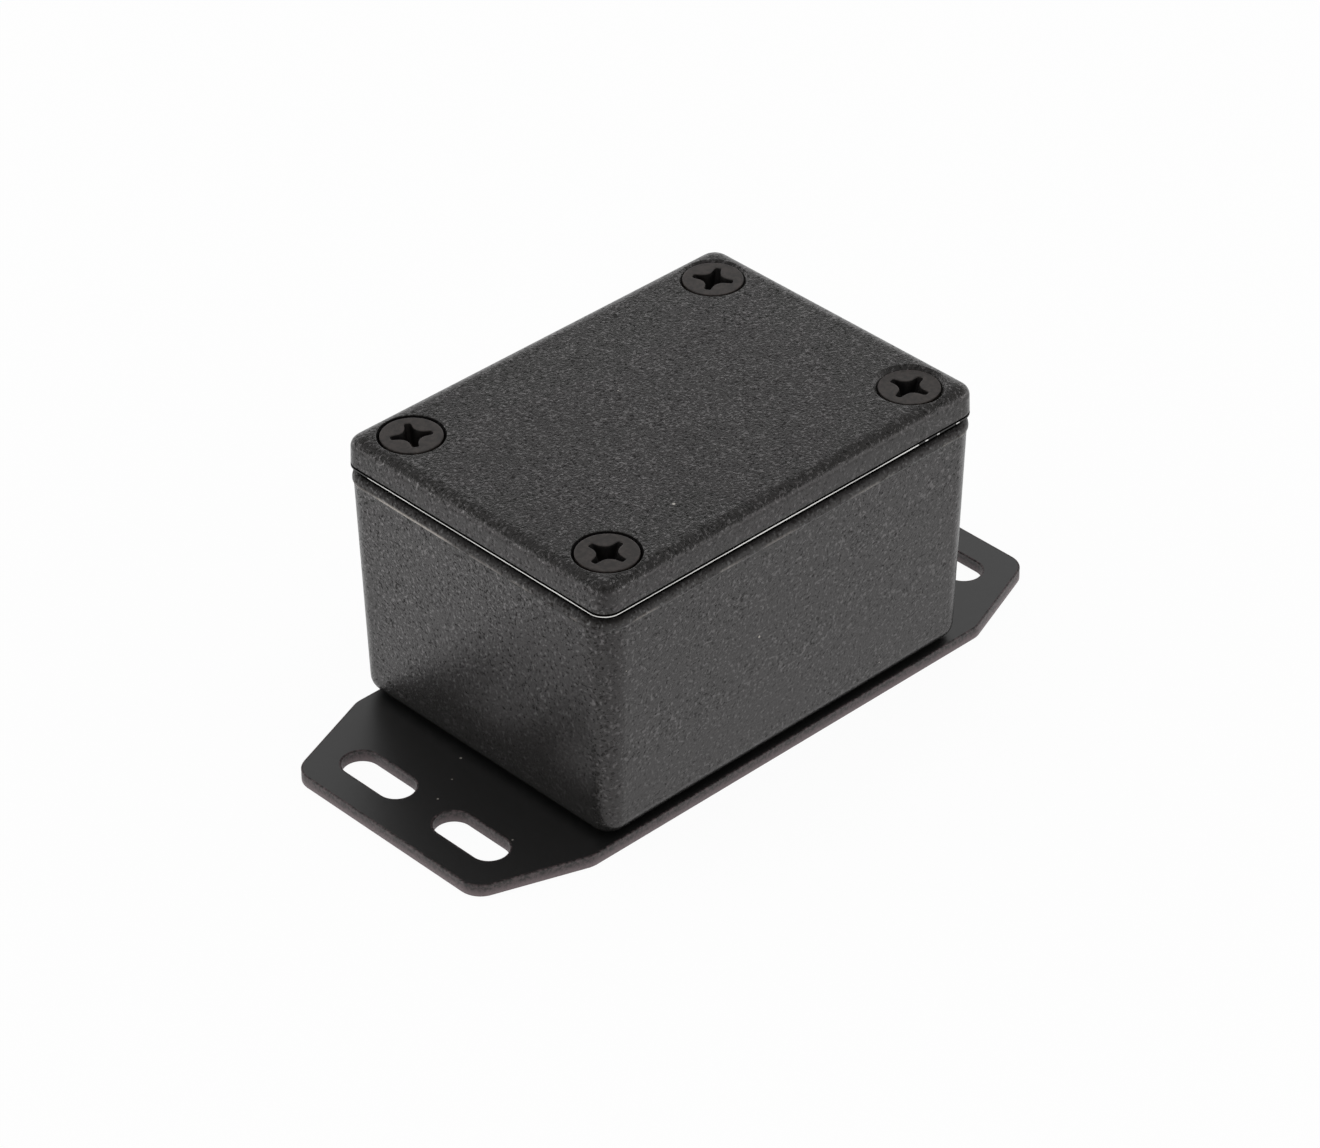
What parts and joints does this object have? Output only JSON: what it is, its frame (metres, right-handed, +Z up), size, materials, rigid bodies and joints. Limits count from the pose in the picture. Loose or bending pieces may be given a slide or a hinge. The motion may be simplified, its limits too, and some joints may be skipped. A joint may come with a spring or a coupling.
{
  "type": "die cast aluminium enclosure",
  "caption": "Small black coated die cast box with a screwed lid, on a flat slotted mounting plate, for housing a circuit board.",
  "frame": {"origin": "on the surface that the mounting plate stands on, under the middle of the case", "axes": "+X along the case and the mounting plate, +Y across the case, +Z up through the lid"},
  "size_m": [0.0798, 0.039, 0.0328],
  "materials": {
    "casting_coat": "fine textured black powder coat over cast aluminium",
    "plate_coat": "smooth satin black coat over sheet steel",
    "screw_black": "black oxide steel",
    "gasket_rubber": "matt black silicone rubber"
  },
  "bodies": {
    "base": {"enclosure_base": "casting_coat", "mounting_plate": "plate_coat", "plate_screws": "screw_black"},
    "lid": {"enclosure_lid": "casting_coat", "lid_gasket": "gasket_rubber"},
    "screw_1": {"lid_screw_1": "screw_black"},
    "screw_2": {"lid_screw_2": "screw_black"},
    "screw_3": {"lid_screw_3": "screw_black"},
    "screw_4": {"lid_screw_4": "screw_black"}
  },
  "joints": [
    {"name": "lid_lift", "type": "slide", "parent": "base", "child": "lid", "axis": [0, 0, 1], "range_m": [0, 0.045]},
    {"name": "screw_1_out", "type": "slide", "parent": "lid", "child": "screw_1", "axis": [0, 0, 1], "range_m": [0, 0.016]},
    {"name": "screw_2_out", "type": "slide", "parent": "lid", "child": "screw_2", "axis": [0, 0, 1], "range_m": [0, 0.016]},
    {"name": "screw_3_out", "type": "slide", "parent": "lid", "child": "screw_3", "axis": [0, 0, 1], "range_m": [0, 0.016]},
    {"name": "screw_4_out", "type": "slide", "parent": "lid", "child": "screw_4", "axis": [0, 0, 1], "range_m": [0, 0.016]}
  ]
}
